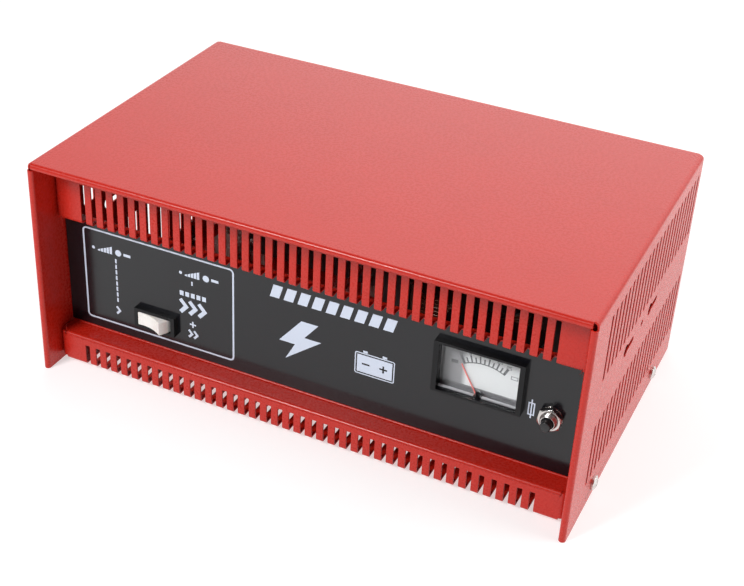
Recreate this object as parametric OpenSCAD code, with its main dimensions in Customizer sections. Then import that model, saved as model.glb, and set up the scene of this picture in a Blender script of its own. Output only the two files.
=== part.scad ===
// Workshop battery charger: folded steel case with a panel ammeter, a rocker switch and a reset button.
// Origin: centre of the cover's footprint on the floor. +X right, +Y to the back, +Z up. Millimetres.

/* [Case] */
// Width of the cover
case_w = 365; // [362:1:380]
// Depth of the cover
case_d = 230; // [229:1:240]
// Height of the cover
case_h = 152; // [151:1:156]
// Thickness of the steel sheet
sheet = 1.2; // [1.0:0.1:1.3]
// Thickness of the curled edges of the cover
hem_t = 4.5; // [4.2:0.1:4.6]

/* [Vents] */
// Number of slots in each front strip
front_slots = 40; // [20:2:40]
// Distance between slots in the front strips
front_pitch = 8; // [7:0.5:8]
// Number of slots in each row of a side wall
side_slots = 24; // [12:1:24]
// Distance between slots in a side wall
side_pitch = 8.2; // [7:0.1:8.2]
// Width of every vent slot
slot_w = 3.2; // [2.4:0.1:3.4]

/* [Front panel] */
// Height of the ledge below the label
ledge_z = 23.8; // [22:0.1:24]
// Height of the underside of the upper strip
step_z = 106.8; // [106:0.1:108]

/* [Switch] */
// Half of the rocker's travel, in degrees
rocker_tilt = 15; // [10:1:15]

/* [Ammeter] */
// Angle of the needle at rest, left of upright, in degrees
needle_rest = 30; // [20:1:30]
// Length of the needle from its pivot
needle_l = 27.5; // [24:0.5:28]

/* [Transformer] */
// Width of the laminated core
core_w = 126; // [120:1:126]
// Depth of the lamination stack
core_stack = 60; // [40:1:60]

/* [Hidden] */
$fn = 64;
e = 0.01;                                // overshoot of a cutting tool

// Case
bend_r = 1;                              // inside radius of a bend
bend_o = bend_r + sheet;                 // outside radius of a bend
hem_leg = 6;                             // length that a curled edge runs back
front_leg = 27;                          // the same, down the sides of the front
hem_clear = 0.3;                         // gap between a curled edge and what lies next to it
cover_bend = 2;                          // inside radius of the cover's two long bends
cover_corner = cover_bend + sheet;
hem_c = case_d / 2 - hem_t / 2;          // distance of a curl's centre from the middle of the case
wall_in = case_w / 2 - sheet;            // inner face of a side wall

// Vents
slot_h = 43.3;                           // height of a side slot
side_row_z = [20.9, 96.6];               // lower ends of the two rows
side_first_y = -83;                      // middle of the first side slot
keyhole_z = 86.4;
keyhole_y = [-33.3, 18.8];               // middles of the round ends
keyhole_r = 4;
keyhole_run = 14;                        // length of the narrow end
keyhole_w = 4;
lock_hole_y = 0.9;
lock_hole_r = 2.2;

// Chassis: outer faces of the folded front
strip_w = case_w - 2 * (hem_t + hem_clear);  // width of the folded front
strip_y = -95.8;                         // upper strip
panel_y = -86;                           // label panel
lower_y = -101.3;                        // lower strip
base_z = 2.6;                            // underside of the base plate
base_top = base_z + sheet;
top_z = case_h - sheet - 1;              // upper face of the top flange
top_flange = 14;
side_bend = 3.6;                         // inside radius of the strips' end bends
upper_slot_top = 135.3;
upper_slot_run = 6.5;                    // how far a slot runs back under the upper strip
lower_slot_top = 17.7;
lower_slot_run = 25;                     // how far a slot runs back into the base plate
base_back = 107.4;
flange_x = wall_in - 0.2;                // outer face of the base plate's upright flanges
flange_y = [-70, 100];
flange_top = 21;
label_t = 0.4;
label_y = panel_y - label_t;             // front face of the label

// Rear panel
rear_y = 107.6;                          // inner face
rear_top = case_h - hem_t - 0.3;
rear_foot = 14;
rear_slots = 30;
rear_screw_x = [-150, -50, 50, 150];
rear_screw_y = rear_y - 7;

// Cover screws
cover_screw_y = [-65, 65];
cover_screw_z = 9.5;

// Rocker switch
sw_x = -110.2;
sw_z = 44.7;
sw_bezel = [30, 4, 14];
sw_core = [26.8, 22, 11.8];              // part of the body behind the bezel
sw_hole = [24, 9.7];                     // opening for the rocker
sw_front = label_y - sw_bezel[1];
sw_pivot_y = sw_front + 5.9;
sw_floor = 3;
rocker_w = 9.3;
tip_x = 9.65;                            // a rocker tip, from the pivot, with the rocker level
tip_up = 9.25;
rocker_end_r = 26.75;                    // radius of the end faces
rocker_end_c = 15.45;
rocker_dish = 1.9;                       // depth of the dished top
pin_r = 1.2;
contact_y = sw_pivot_y + 12.3;           // pivot line of the tipping contact
contact_l = 16;
contact_w = 6;
contact_t = 0.8;
contact_rib_r = 0.8;
contact_tilt = 8;
plunger_tip = 11.5;                      // end of the plunger, from the rocker's pivot
blade = [4.8, 0.8];
sw_blade_x = [-9, 0, 9];

// Ammeter
mt_x = 111.2;
mt_z = 77.75;
mt_frame = [56.7, 35.3];
mt_open = [50.2, 32.3];
mt_collar = [52.8, 34.1];
mt_front = label_y - 4.6;
mt_recess = 5.5;                         // depth of the window behind the frame's face
window_t = 1.6;
window_y = mt_front + mt_recess;
lip = [1.7, 0.9];                        // depth and height of the window's lower lip
lip_gap = 5.4;
case_box = [62, 50];
case_depth = 30;
case_z = 74;                             // middle of the case, below the frame's middle
case_front = panel_y + sheet + 0.2;
case_wall = 1.6;
dial = [56, 44];
dial_y = -81.6;
needle_x = 112.2;
needle_z = 55.6;
needle_y = -82.9;
needle_w = 0.7;
needle_tail = 4;
shaft_r = 0.6;
zero_z = 63.6;
zero_r = 1.7;
stud_x = [-18, 18];
stud_z = 78;

// Reset breaker
br_x = 156.9;
br_z = 63.6;
br_box = [14, 28, 30];
br_hole_r = 5.1;
bushing_r = 5;
bushing_bore = 3.7;
bushing_l = 7.4;                         // in front of the label
nut_af = 14;
nut_t = 4;
washer_t = 0.6;
button_r = 3.3;
button_guide_r = 3.62;
button_out = 12;                         // in front of the label

// Transformer
core_x = 80;
core_y = 8;                              // middle of the stack
core_z = 9.8;
leg = core_w / 6;
core_h = leg * 5;
window_h = leg * 3;
coil_gap = 0.4;
bobbin_t = 1.6;
coil_r = 3;
primary_t = 8;
secondary_t = 8.5;
bracket_t = 2;
bracket_foot = 18;
core_bolt_r = 2.5;

// Rectifier
rect_x = -75;
rect_y = 62;
rect_size = [110, 4, 84];
rect_z = 16;
diode_r = 6.4;
diode_x = [-36, -12, 12, 36];

// Rear entries
gland_x = -142;
lead_x = [-70, -40];
entry_z = 32;
gland_r = 8;
gland_bore = 4.2;
lead_r = 8;
lead_bore = 4.5;
tb_x = -142;                             // mains terminal block
tb_y = 70;
tb_size = [22, 40, 18];
earth_x = -110;
earth_y = 85;
wire_r = 2;
lead_turn = 6;                           // radius of a lead's bends

// ---- helpers -------------------------------------------------------------------------------------

// a flat run of sheet, given by two opposite corners
module bar(x0, y0, x1, y1) {
    translate([min(x0, x1), min(y0, y1)]) square([abs(x1 - x0), abs(y1 - y0)]);
}

// a quarter turn of sheet about (x, y); q counts quadrants from +x +y
module bend(x, y, q, r = bend_r) {
    translate([x, y]) rotate(90 * q) intersection() {
        difference() {
            circle(r + sheet);
            circle(r);
        }
        square(r + sheet);
    }
}

// extrudes a (y, z) outline along X, about the middle
module along_x(length) {
    rotate([90, 0, 90]) linear_extrude(length, center = true) children();
}

// extrudes an (x, z) outline along Y, about the middle
module along_y(length) {
    rotate([90, 0, 0]) linear_extrude(length, center = true) children();
}

module both_sides() {
    children();
    mirror([1, 0, 0]) children();
}

// a box centred on x and z, from y0 to y1
module block_y(x, z, w, h, y0, y1) {
    translate([x - w / 2, min(y0, y1), z - h / 2]) cube([w, abs(y1 - y0), h]);
}

// a cylinder along Y, from y0 to y1
module rod_y(x, z, r, y0, y1) {
    translate([x, max(y0, y1), z]) rotate([90, 0, 0]) cylinder(r = r, h = abs(y1 - y0));
}

// a cylinder along X, from x0 to x1
module rod_x(y, z, r, x0, x1) {
    translate([min(x0, x1), y, z]) rotate([0, 90, 0]) cylinder(r = r, h = abs(x1 - x0));
}

// pan head with a cross recess, seated on z = 0, with its shank below
module pan_screw(head_r, head_h, shank_r, shank_l) {
    difference() {
        union() {
            intersection() {
                translate([0, 0, head_h - head_r * 1.6]) sphere(head_r * 1.6);
                cylinder(r = head_r, h = head_h);
            }
            translate([0, 0, -shank_l]) cylinder(r = shank_r, h = shank_l + e);
        }
        for (a = [0, 90]) {
            rotate(a) translate([-head_r * 0.5, -head_r * 0.1, head_h * 0.45])
                cube([head_r, head_r * 0.2, head_h]);
        }
    }
}

// hexagon nut along +Z from z = 0
module hex_nut(af, h, bore_r) {
    difference() {
        cylinder(d = af / cos(30), h = h, $fn = 6);
        translate([0, 0, -e]) cylinder(r = bore_r, h = h + 2 * e);
    }
}

// ---- case ----------------------------------------------------------------------------------------

// curled edge: the sheet arrives along +x with its outer face on y = hem_t / 2
module hem_section(leg) {
    intersection() {
        difference() {
            circle(hem_t / 2);
            circle(hem_t / 2 - sheet);
        }
        bar(-hem_t, -hem_t, 0, hem_t);
    }
    bar(-e, -hem_t / 2, leg, -hem_t / 2 + sheet);
}

module cover_section() {
    for (s = [-1, 1]) {
        bar(s * case_w / 2, 0, s * wall_in, case_h - cover_corner);
    }
    bar(-case_w / 2 + cover_corner, case_h - sheet, case_w / 2 - cover_corner, case_h);
    bend(case_w / 2 - cover_corner, case_h - cover_corner, 0, cover_bend);
    bend(-case_w / 2 + cover_corner, case_h - cover_corner, 1, cover_bend);
}

// curled edges along the top and down the sides of one end, at -y
module cover_edges(leg) {
    along_x(case_w - 2 * cover_corner) translate([-hem_c, case_h - hem_t / 2]) hem_section(hem_leg);
    both_sides() linear_extrude(case_h - hem_t - hem_clear)
        translate([case_w / 2 - hem_t / 2, -hem_c]) mirror([1, -1]) hem_section(leg);
}

module side_wall_holes() {
    x0 = wall_in - 1;
    for (z = side_row_z, i = [0 : side_slots - 1]) {
        translate([x0, side_first_y + i * side_pitch - slot_w / 2, z]) cube([sheet + 2, slot_w, slot_h]);
    }
    for (y = keyhole_y) {
        rod_x(y, keyhole_z, keyhole_r, x0, x0 + sheet + 2);
        rod_x(y + keyhole_run, keyhole_z, keyhole_w / 2, x0, x0 + sheet + 2);
        translate([x0, y, keyhole_z - keyhole_w / 2]) cube([sheet + 2, keyhole_run, keyhole_w]);
    }
    rod_x(lock_hole_y, keyhole_z, lock_hole_r, x0, x0 + sheet + 2);
    for (y = cover_screw_y) {
        rod_x(y, cover_screw_z, 2.75, x0, x0 + sheet + 2);
    }
}

module cover() {
    color([0.80, 0.16, 0.14]) difference() {
        union() {
            along_y(2 * hem_c) cover_section();
            cover_edges(front_leg);
            mirror([0, 1, 0]) cover_edges(hem_leg);
        }
        both_sides() side_wall_holes();
    }
}

// (y, z) outline of the folded front, the base plate and the top flange
module front_section() {
    bar(strip_y + bend_o, top_z - sheet, strip_y + top_flange, top_z);
    bend(strip_y + bend_o, top_z - bend_o, 1);
    bar(strip_y, step_z + bend_o, strip_y + sheet, top_z - bend_o);
    bend(strip_y + bend_o, step_z + bend_o, 2);
    bar(strip_y + bend_o, step_z, panel_y - bend_r, step_z + sheet);
    bend(panel_y - bend_r, step_z - bend_r, 0);
    bar(panel_y, ledge_z + bend_r, panel_y + sheet, step_z - bend_r);
    bend(panel_y - bend_r, ledge_z + bend_r, 3);
    bar(lower_y + bend_o, ledge_z - sheet, panel_y - bend_r, ledge_z);
    bend(lower_y + bend_o, ledge_z - bend_o, 1);
    bar(lower_y, base_z + bend_o, lower_y + sheet, ledge_z - bend_o);
    bend(lower_y + bend_o, base_z + bend_o, 2);
    bar(lower_y + bend_o, base_z, base_back, base_top);
}

// the end of a strip, bent back out of sight
module strip_end(y, y_back, z0, z1) {
    o = side_bend + sheet;
    translate([0, 0, z0]) linear_extrude(z1 - z0) {
        bend(strip_w / 2 - o, y + o, 3, side_bend);
        bar(strip_w / 2 - sheet, y + o, strip_w / 2, y_back);
    }
}

// closes the corner between a strip's bent end and the ledge or step beside it
module strip_corner(y, z) {
    o = side_bend + sheet;
    translate([strip_w / 2 - o, y + o, z]) linear_extrude(sheet) {
        intersection() {
            circle(o);
            bar(-e, -o, o, e);
        }
        bar(-e, 0, o, panel_y - y - o + e);
    }
}

// upright flange on the edge of the base plate, where the cover's side is screwed on
module base_flange() {
    run = flange_y[1] - flange_y[0];
    translate([0, (flange_y[0] + flange_y[1]) / 2, 0]) along_y(run) {
        bar(strip_w / 2 - 8, base_z, flange_x - bend_o, base_top);
        bend(flange_x - bend_o, base_z + bend_o, 3);
        bar(flange_x - sheet, base_z + bend_o, flange_x, flange_top);
    }
}

module chassis_slots() {
    for (i = [0 : front_slots - 1]) {
        x = (i - (front_slots - 1) / 2) * front_pitch - slot_w / 2;
        translate([x, strip_y - 1, step_z - 1]) cube([slot_w, upper_slot_run + 1, upper_slot_top - step_z + 1]);
        translate([x, lower_y - 1, base_z - 1]) cube([slot_w, lower_slot_run + 1, sheet + 1 + e]);
        translate([x, lower_y - 1, base_z - 1]) cube([slot_w, bend_o + 1.5, lower_slot_top - base_z + 1]);
    }
}

module chassis() {
    flat_w = strip_w - 2 * (side_bend + sheet);
    panel_back = panel_y + sheet + 1;
    color([0.72, 0.16, 0.14]) difference() {
        union() {
            along_x(flat_w) front_section();
            both_sides() {
                strip_end(strip_y, panel_y - 2.5, step_z, top_z - sheet - 1);
                strip_end(lower_y, panel_y - 2.5, base_z + bend_o, ledge_z - bend_o + 1);
                base_flange();
                translate([flat_w / 2 - e, panel_y, ledge_z - sheet])
                    cube([side_bend + sheet + e, sheet, step_z - ledge_z + 2 * sheet]);
                strip_corner(lower_y, ledge_z - sheet);
                strip_corner(strip_y, step_z);
            }
        }
        chassis_slots();
        block_y(sw_x, sw_z, sw_core[0] + 0.4, sw_core[2] + 0.4, panel_y - 1, panel_back);
        block_y(mt_x, mt_z, mt_collar[0] + 0.2, mt_collar[1] + 0.2, panel_y - 1, panel_back);
        rod_y(br_x, br_z, br_hole_r, panel_y - 1, panel_back);
        both_sides() for (y = cover_screw_y) {
            rod_x(y, cover_screw_z, 2.6, flange_x - 3, flange_x + 1);
        }
        for (x = rear_screw_x) {
            translate([x, rear_screw_y, base_z - 1]) cylinder(r = 2.2, h = 4);
        }
        for (s = [-1, 1], t = [-1, 1]) {
            translate([bracket_hole_x(s), bracket_hole_y(t), base_z - 1]) cylinder(r = 2.7, h = 4);
        }
        translate([earth_x, earth_y, base_z - 1]) cylinder(r = 2.2, h = 4);
    }
}

module rear_panel() {
    color([0.66, 0.15, 0.13]) difference() {
        union() {
            along_x(strip_w) {
                bar(rear_y - rear_foot, base_top, rear_y + sheet - bend_o, base_top + sheet);
                bend(rear_y + sheet - bend_o, base_top + bend_o, 3);
                bar(rear_y, base_top + bend_o, rear_y + sheet, rear_top);
            }
        }
        for (z = [62, 98], i = [0 : rear_slots - 1]) {
            x = (i - (rear_slots - 1) / 2) * front_pitch - slot_w / 2;
            translate([x, rear_y - 1, z]) cube([slot_w, sheet + 2, 28]);
        }
        for (x = rear_screw_x) {
            translate([x, rear_screw_y, base_top - 1]) cylinder(r = 2.2, h = 4);
        }
        rod_y(gland_x, entry_z, gland_r + 0.1, rear_y - 1, rear_y + 3);
        for (x = lead_x) {
            rod_y(x, entry_z, lead_r, rear_y - 1, rear_y + 3);
        }
    }
}

module front_label() {
    color([0.10, 0.10, 0.11]) difference() {
        translate([-strip_w / 2 + 0.5, label_y, ledge_z + bend_r + 0.4])
            cube([strip_w - 1, label_t, step_z - ledge_z - 2 * bend_r - 0.8]);
        block_y(sw_x, sw_z, sw_core[0] + 0.4, sw_core[2] + 0.4, label_y - 1, panel_y + 1);
        block_y(mt_x, mt_z, mt_collar[0] + 0.2, mt_collar[1] + 0.2, label_y - 1, panel_y + 1);
        rod_y(br_x, br_z, br_hole_r, label_y - 1, panel_y + 1);
    }
}

module cover_screws() {
    color([0.75, 0.74, 0.72]) both_sides() for (y = cover_screw_y) {
        translate([case_w / 2, y, cover_screw_z]) rotate([0, 90, 0]) pan_screw(4.75, 3.2, 2.05, 10);
    }
}

// spring clip over the flange's inner face, with a threaded collar
module cover_clip_nuts() {
    color([0.35, 0.34, 0.33]) both_sides() for (y = cover_screw_y) {
        difference() {
            union() {
                translate([flange_x - sheet - 1, y - 7, base_top + 0.6]) cube([0.9, 14, 13]);
                rod_x(y, cover_screw_z, 4, flange_x - sheet - 4.5, flange_x - sheet - 0.9);
            }
            rod_x(y, cover_screw_z, 2.1, flange_x - 8, flange_x);
        }
    }
}

module rear_panel_screws() {
    color([0.75, 0.74, 0.72]) for (x = rear_screw_x) {
        translate([x, rear_screw_y, base_z]) rotate([180, 0, 0]) pan_screw(4, 2.2, 1.95, 7.5);
    }
}

module rear_panel_nuts() {
    color([0.70, 0.69, 0.66]) for (x = rear_screw_x) {
        translate([x, rear_screw_y, base_top + sheet]) hex_nut(7, 3, 2);
    }
}

// ---- rocker switch -------------------------------------------------------------------------------

module switch_body() {
    back = label_y + sw_core[1];
    color([0.06, 0.06, 0.06]) difference() {
        union() {
            block_y(sw_x, sw_z, sw_bezel[0], sw_bezel[2], sw_front, label_y);
            block_y(sw_x, sw_z, sw_core[0], sw_core[2], label_y - e, back);
        }
        block_y(sw_x, sw_z, sw_hole[0], sw_hole[1], sw_front - 1, back - sw_floor);
        translate([sw_x, sw_pivot_y, sw_z - 5.6]) cylinder(r = pin_r + 0.05, h = 11.2);
        for (x = sw_blade_x) {
            block_y(sw_x + x, sw_z, blade[1] + 0.2, blade[0] + 0.2, back - sw_floor - 1, back + 1);
        }
    }
}

// rocker section about its pivot: x along the switch, y out of the panel
module rocker_section() {
    dish_r = (pow(tip_x, 2) + pow(rocker_dish, 2)) / (2 * rocker_dish);
    difference() {
        intersection() {
            translate([-rocker_end_c, 0]) circle(rocker_end_r, $fn = 128);
            translate([rocker_end_c, 0]) circle(rocker_end_r, $fn = 128);
            bar(-15, -2.5, 15, tip_up);
        }
        translate([0, tip_up - rocker_dish + dish_r]) circle(dish_r, $fn = 128);
    }
}

module in_rocker_frame() {
    translate([sw_x, sw_pivot_y, sw_z]) rotate(-rocker_tilt) children();
}

module switch_rocker() {
    color([0.92, 0.91, 0.88]) in_rocker_frame() {
        difference() {
            union() {
                linear_extrude(rocker_w, center = true) mirror([0, 1]) rocker_section();
                cylinder(r = pin_r, h = rocker_w + 1.8, center = true);
                translate([-2.6, 2.4, -2.6]) cube([5.2, 5.5, 5.2]);
            }
            translate([0, 8.5, 0]) rotate([90, 0, 0]) cylinder(r = 1.6, h = 7);
        }
    }
}

module switch_plunger() {
    color([0.80, 0.78, 0.70]) in_rocker_frame() {
        translate([0, plunger_tip - 1.5, 0]) sphere(1.5);
        translate([0, plunger_tip - 1.5, 0]) rotate([90, 0, 0]) cylinder(r = 1.5, h = plunger_tip - 4);
    }
}

// strip that tips on a half-round rib over the middle terminal
module switch_contact() {
    color([0.78, 0.50, 0.30]) translate([sw_x, contact_y, sw_z]) rotate(contact_tilt)
        linear_extrude(contact_w, center = true) {
            bar(-contact_l / 2, -contact_t / 2, contact_l / 2, contact_t / 2);
            intersection() {
                circle(contact_rib_r);
                bar(-contact_rib_r, 0, contact_rib_r, contact_rib_r);
            }
        }
}

module switch_terminals() {
    back = label_y + sw_core[1];
    color([0.82, 0.72, 0.45]) for (x = sw_blade_x) {
        reach = x == 0 ? 0.9 : 2.2;
        block_y(sw_x + x, sw_z, blade[1], blade[0], contact_y + reach, back + 9);
    }
}

// ---- ammeter -------------------------------------------------------------------------------------

module meter_bezel() {
    color([0.05, 0.05, 0.05]) difference() {
        union() {
            block_y(mt_x, mt_z, mt_frame[0], mt_frame[1], mt_front, label_y);
            block_y(mt_x, mt_z, mt_collar[0], mt_collar[1], label_y - e, window_y + window_t);
        }
        block_y(mt_x, mt_z, mt_open[0], mt_open[1], mt_front - 1, window_y + window_t + 1);
    }
}

module meter_window() {
    low = mt_z - mt_open[1] / 2 + 0.1;
    color([0.85, 0.87, 0.88, 0.35]) difference() {
        union() {
            block_y(mt_x, mt_z, mt_open[0] - 0.2, mt_open[1] - 0.2, window_y, window_y + window_t);
            block_y(mt_x, low + lip[1] / 2, mt_open[0] - 0.2, lip[1], window_y - lip[0], window_y + e);
        }
        block_y(mt_x, low, lip_gap, 4, window_y - 3, window_y);
        rod_y(mt_x, zero_z, 1.25, window_y - 1, window_y + window_t + 1);
    }
}

module meter_case() {
    back = case_front + case_depth;
    color([0.09, 0.09, 0.09]) difference() {
        block_y(mt_x, case_z, case_box[0], case_box[1], case_front, back);
        block_y(mt_x, case_z, case_box[0] - 2 * case_wall, case_box[1] - 2 * case_wall,
                case_front - 1, back - 2.5);
        for (x = stud_x) {
            rod_y(mt_x + x, stud_z, 2.1, back - 4, back + 1);
        }
    }
}

module meter_dial() {
    color([0.93, 0.93, 0.90]) difference() {
        block_y(mt_x, case_z, dial[0], dial[1], dial_y, dial_y + 0.6);
        rod_y(needle_x, needle_z, 1.4, dial_y - 1, dial_y + 2);
    }
}

module meter_needle() {
    color([0.80, 0.10, 0.08]) {
        translate([needle_x, 0, needle_z]) rotate([0, -needle_rest, 0]) {
            translate([-needle_w / 2, needle_y, -needle_tail]) cube([needle_w, 0.4, needle_l + needle_tail]);
        }
        rod_y(needle_x, needle_z, 1.2, needle_y - 0.3, needle_y + 1);
        rod_y(needle_x, needle_z, shaft_r, needle_y, dial_y + 18);
        rod_y(needle_x, needle_z, 4, dial_y + 8, dial_y + 10);
    }
}

module meter_zero_screw() {
    color([0.06, 0.06, 0.06]) difference() {
        union() {
            rod_y(mt_x, zero_z, zero_r, window_y - 0.9, window_y - 0.05);
            rod_y(mt_x, zero_z, 1.2, window_y - 0.1, window_y + window_t + 0.1);
        }
        block_y(mt_x, zero_z, 2 * zero_r - 0.8, 0.5, window_y - 2, window_y - 0.5);
    }
}

// coil former with the two bearing plates of the needle's shaft
module meter_movement() {
    front = dial_y + 3;
    color([0.72, 0.45, 0.25]) difference() {
        union() {
            for (y = [0, 11]) {
                block_y(needle_x, needle_z + 7, 24, 22, front + y, front + y + 2);
            }
            for (x = [-10.5, 10.5]) {
                block_y(needle_x + x, needle_z + 7, 3, 22, front, front + 13);
            }
            rod_y(needle_x, needle_z + 7, 4, front + 12, back_of_case() - 2.6);
        }
        rod_y(needle_x, needle_z, shaft_r + 0.06, front - 1, front + 16);
    }
}

function back_of_case() = case_front + case_depth;

module meter_studs() {
    color([0.80, 0.72, 0.45]) for (x = stud_x) {
        rod_y(mt_x + x, stud_z, 2, back_of_case() - 4, back_of_case() + 12);
        rod_y(mt_x + x, stud_z, 4, back_of_case() - 4.5, back_of_case() - 2.6);
    }
}

module meter_nuts() {
    color([0.80, 0.72, 0.45]) for (x = stud_x) {
        translate([mt_x + x, back_of_case(), stud_z]) rotate([-90, 0, 0]) hex_nut(7, 3, 2.05);
        translate([mt_x + x, back_of_case() + 5.2, stud_z]) rotate([-90, 0, 0]) hex_nut(7, 3, 2.05);
    }
}

// ---- reset breaker -------------------------------------------------------------------------------

module breaker_body() {
    front = panel_y + sheet + 0.2;
    color([0.07, 0.07, 0.07]) difference() {
        block_y(br_x, br_z, br_box[0], br_box[1], front, front + br_box[2]);
        block_y(br_x, br_z, br_box[0] - 3, br_box[1] - 3, front + 3, front + br_box[2] - 2);
        rod_y(br_x, br_z, bushing_bore + 0.4, front - 1, front + 4);
        for (s = [-1, 1]) {
            block_y(br_x, br_z + s * 8, 6.5, 1, front + 10, front + br_box[2] + 1);
        }
    }
}

module breaker_bushing() {
    color([0.80, 0.79, 0.77]) difference() {
        rod_y(br_x, br_z, bushing_r, label_y - bushing_l, panel_y + sheet + 0.2);
        rod_y(br_x, br_z, bushing_bore, label_y - bushing_l - 1, panel_y + 3);
    }
}

module breaker_washer() {
    color([0.70, 0.69, 0.66]) difference() {
        rod_y(br_x, br_z, 7.2, label_y - washer_t, label_y);
        rod_y(br_x, br_z, br_hole_r, label_y - 2, label_y + 1);
    }
}

module breaker_nut() {
    color([0.82, 0.81, 0.79])
        translate([br_x, label_y - washer_t, br_z]) rotate([90, -21, 0]) hex_nut(nut_af, nut_t, bushing_r + 0.05);
}

module breaker_terminals() {
    front = panel_y + sheet + 0.2;
    color([0.82, 0.72, 0.45]) for (s = [-1, 1]) {
        block_y(br_x, br_z + s * 8, 6.3, 0.8, front + 16, front + br_box[2] + 10);
    }
}

module reset_button() {
    front = label_y - button_out;
    color([0.05, 0.05, 0.05]) {
        intersection() {
            rod_y(br_x, br_z, button_r, front, panel_y + 6);
            translate([br_x, front + 14, br_z]) sphere(14);
        }
        rod_y(br_x, br_z, button_r, front + 3, panel_y + 6);
        rod_y(br_x, br_z, button_guide_r, panel_y - 2.4, panel_y - 0.4);
    }
}

// ---- transformer ---------------------------------------------------------------------------------

function bracket_hole_x(s) = core_x + s * (core_w / 2 - 12);
function bracket_hole_y(t) = core_y + t * (core_stack / 2 + bracket_t + 9);

module transformer_core() {
    color([0.38, 0.38, 0.40]) difference() {
        translate([core_x - core_w / 2, core_y - core_stack / 2, core_z]) cube([core_w, core_stack, core_h]);
        for (s = [-1, 1]) {
            block_y(core_x + s * leg * 1.5, core_z + core_h / 2, leg, window_h,
                    core_y - core_stack, core_y + core_stack);
            for (z = [leg / 2, core_h - leg / 2]) {
                rod_y(core_x + s * (core_w / 2 - leg / 2), core_z + z, core_bolt_r + 0.2,
                      core_y - core_stack, core_y + core_stack);
            }
        }
    }
}

// rectangular ring about the core's middle leg, in plan
module coil_ring(inner, outer, r) {
    half_x = leg;
    half_y = core_stack / 2;
    difference() {
        rounded_plan(half_x + outer, half_y + outer, r + outer);
        rounded_plan(half_x + inner, half_y + inner, r + inner);
    }
}

module rounded_plan(hx, hy, r) {
    bar(-hx + r, -hy, hx - r, hy);
    bar(-hx, -hy + r, hx, hy - r);
    for (sx = [-1, 1], sy = [-1, 1]) {
        translate([sx * (hx - r), sy * (hy - r)]) circle(r);
    }
}

module transformer_bobbin() {
    z0 = core_z + leg + coil_gap;
    h = window_h - 2 * coil_gap;
    color([0.85, 0.80, 0.65]) translate([core_x, core_y, z0]) {
        linear_extrude(h) coil_ring(coil_gap, coil_gap + bobbin_t, 0.2);
        for (z = [0, h - bobbin_t]) {
            translate([0, 0, z]) linear_extrude(bobbin_t) coil_ring(coil_gap, leg - coil_gap, 0.2);
        }
    }
}

module primary_winding() {
    z0 = core_z + leg + coil_gap + bobbin_t;
    h = window_h - 2 * (coil_gap + bobbin_t);
    in0 = coil_gap + bobbin_t;
    color([0.70, 0.33, 0.16]) translate([core_x, core_y, z0 + 0.05]) linear_extrude(h - 0.1)
        coil_ring(in0 + 0.05, in0 + primary_t, 0.2);
}

module secondary_winding() {
    z0 = core_z + leg + coil_gap + bobbin_t;
    h = window_h - 2 * (coil_gap + bobbin_t);
    in0 = coil_gap + bobbin_t + primary_t + 0.4;
    color([0.76, 0.40, 0.20]) translate([core_x, core_y, z0 + 0.05]) linear_extrude(h - 0.1)
        coil_ring(in0, in0 + secondary_t, 0.2);
}

module transformer_brackets() {
    w = core_w;
    color([0.62, 0.60, 0.55]) for (t = [0, 1]) {
        translate([core_x, core_y, 0]) mirror([0, t, 0]) difference() {
            union() {
                translate([-w / 2, -core_stack / 2 - bracket_t, base_top]) cube([w, bracket_t, leg + 6]);
                translate([-w / 2, -core_stack / 2 - bracket_foot, base_top]) cube([w, bracket_foot, bracket_t]);
            }
            for (s = [-1, 1]) {
                rod_y(s * (core_w / 2 - leg / 2), core_z + leg / 2, core_bolt_r + 0.2,
                      -core_stack, core_stack);
                translate([s * (core_w / 2 - 12), -core_stack / 2 - bracket_t - 9, base_top - 1])
                    cylinder(r = 2.7, h = 5);
            }
        }
    }
}

module core_bolts() {
    color([0.72, 0.71, 0.68]) for (s = [-1, 1], z = [leg / 2, core_h - leg / 2]) {
        gap = z < leg ? bracket_t : 0;
        front = core_y - core_stack / 2 - gap;
        back = core_y + core_stack / 2 + gap;
        x = core_x + s * (core_w / 2 - leg / 2);
        rod_y(x, core_z + z, core_bolt_r, front - e, back + 7);
        translate([x, front, core_z + z]) rotate([90, 0, 0]) cylinder(d = 8 / cos(30), h = 3.5, $fn = 6);
    }
}

module core_nuts() {
    color([0.72, 0.71, 0.68]) for (s = [-1, 1], z = [leg / 2, core_h - leg / 2]) {
        gap = z < leg ? bracket_t : 0;
        translate([core_x + s * (core_w / 2 - leg / 2), core_y + core_stack / 2 + gap, core_z + z])
            rotate([-90, 0, 0]) hex_nut(8, 4, core_bolt_r + 0.05);
    }
}

module bracket_screws() {
    color([0.72, 0.71, 0.68]) for (s = [-1, 1], t = [-1, 1]) {
        translate([bracket_hole_x(s), bracket_hole_y(t), base_z]) rotate([180, 0, 0])
            pan_screw(4.75, 2.2, 2.4, 9.5);
    }
}

module bracket_nuts() {
    color([0.72, 0.71, 0.68]) for (s = [-1, 1], t = [-1, 1]) {
        translate([bracket_hole_x(s), bracket_hole_y(t), base_top + bracket_t]) hex_nut(8, 4, 2.45);
    }
}

// ---- rectifier, wiring and rear entries ----------------------------------------------------------

module rectifier_plate() {
    color([0.74, 0.75, 0.77]) difference() {
        translate([rect_x - rect_size[0] / 2, rect_y, rect_z]) cube(rect_size);
        for (x = diode_x) {
            rod_y(rect_x + x, rect_z + 50, diode_r, rect_y - 1, rect_y + rect_size[1] + 1);
        }
        for (s = [-1, 1]) {
            rod_y(rect_x + s * 46, rect_z + 8, 2.2, rect_y - 1, rect_y + rect_size[1] + 1);
        }
    }
}

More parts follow.
